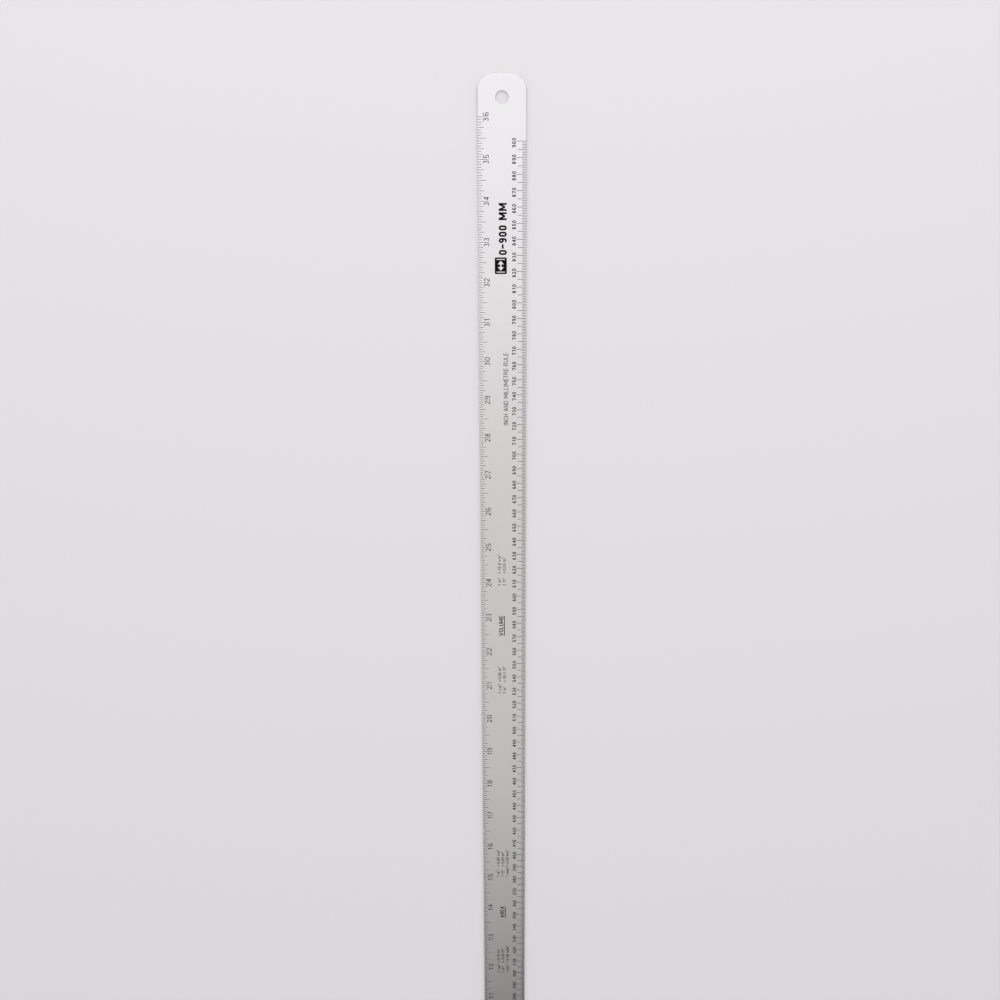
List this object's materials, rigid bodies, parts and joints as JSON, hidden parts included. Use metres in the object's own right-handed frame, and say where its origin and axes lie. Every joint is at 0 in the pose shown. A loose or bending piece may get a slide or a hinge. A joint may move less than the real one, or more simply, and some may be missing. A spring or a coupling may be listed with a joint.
{
  "type": "straight rule",
  "caption": "Flat anodised aluminium rule with printed inch and millimetre scales, conversion tables and a hanging hole.",
  "frame": {"origin": "middle of the underside, on the surface that the rule lies on", "axes": "+X along the length to the hanging end, +Y across the width to the inch edge, +Z out of the printed face"},
  "size_m": [0.94, 0.03, 0.002],
  "materials": {
    "blade": "satin clear anodised",
    "ink": "matt black print"
  },
  "bodies": {
    "root": {"blade": "blade", "inch_graduations": "ink", "inch_numerals": "ink", "millimetre_graduations": "ink", "millimetre_numerals": "ink", "size_mark": "ink", "title": "ink", "length_table": "ink", "area_table": "ink", "volume_table": "ink"}
  },
  "joints": []
}
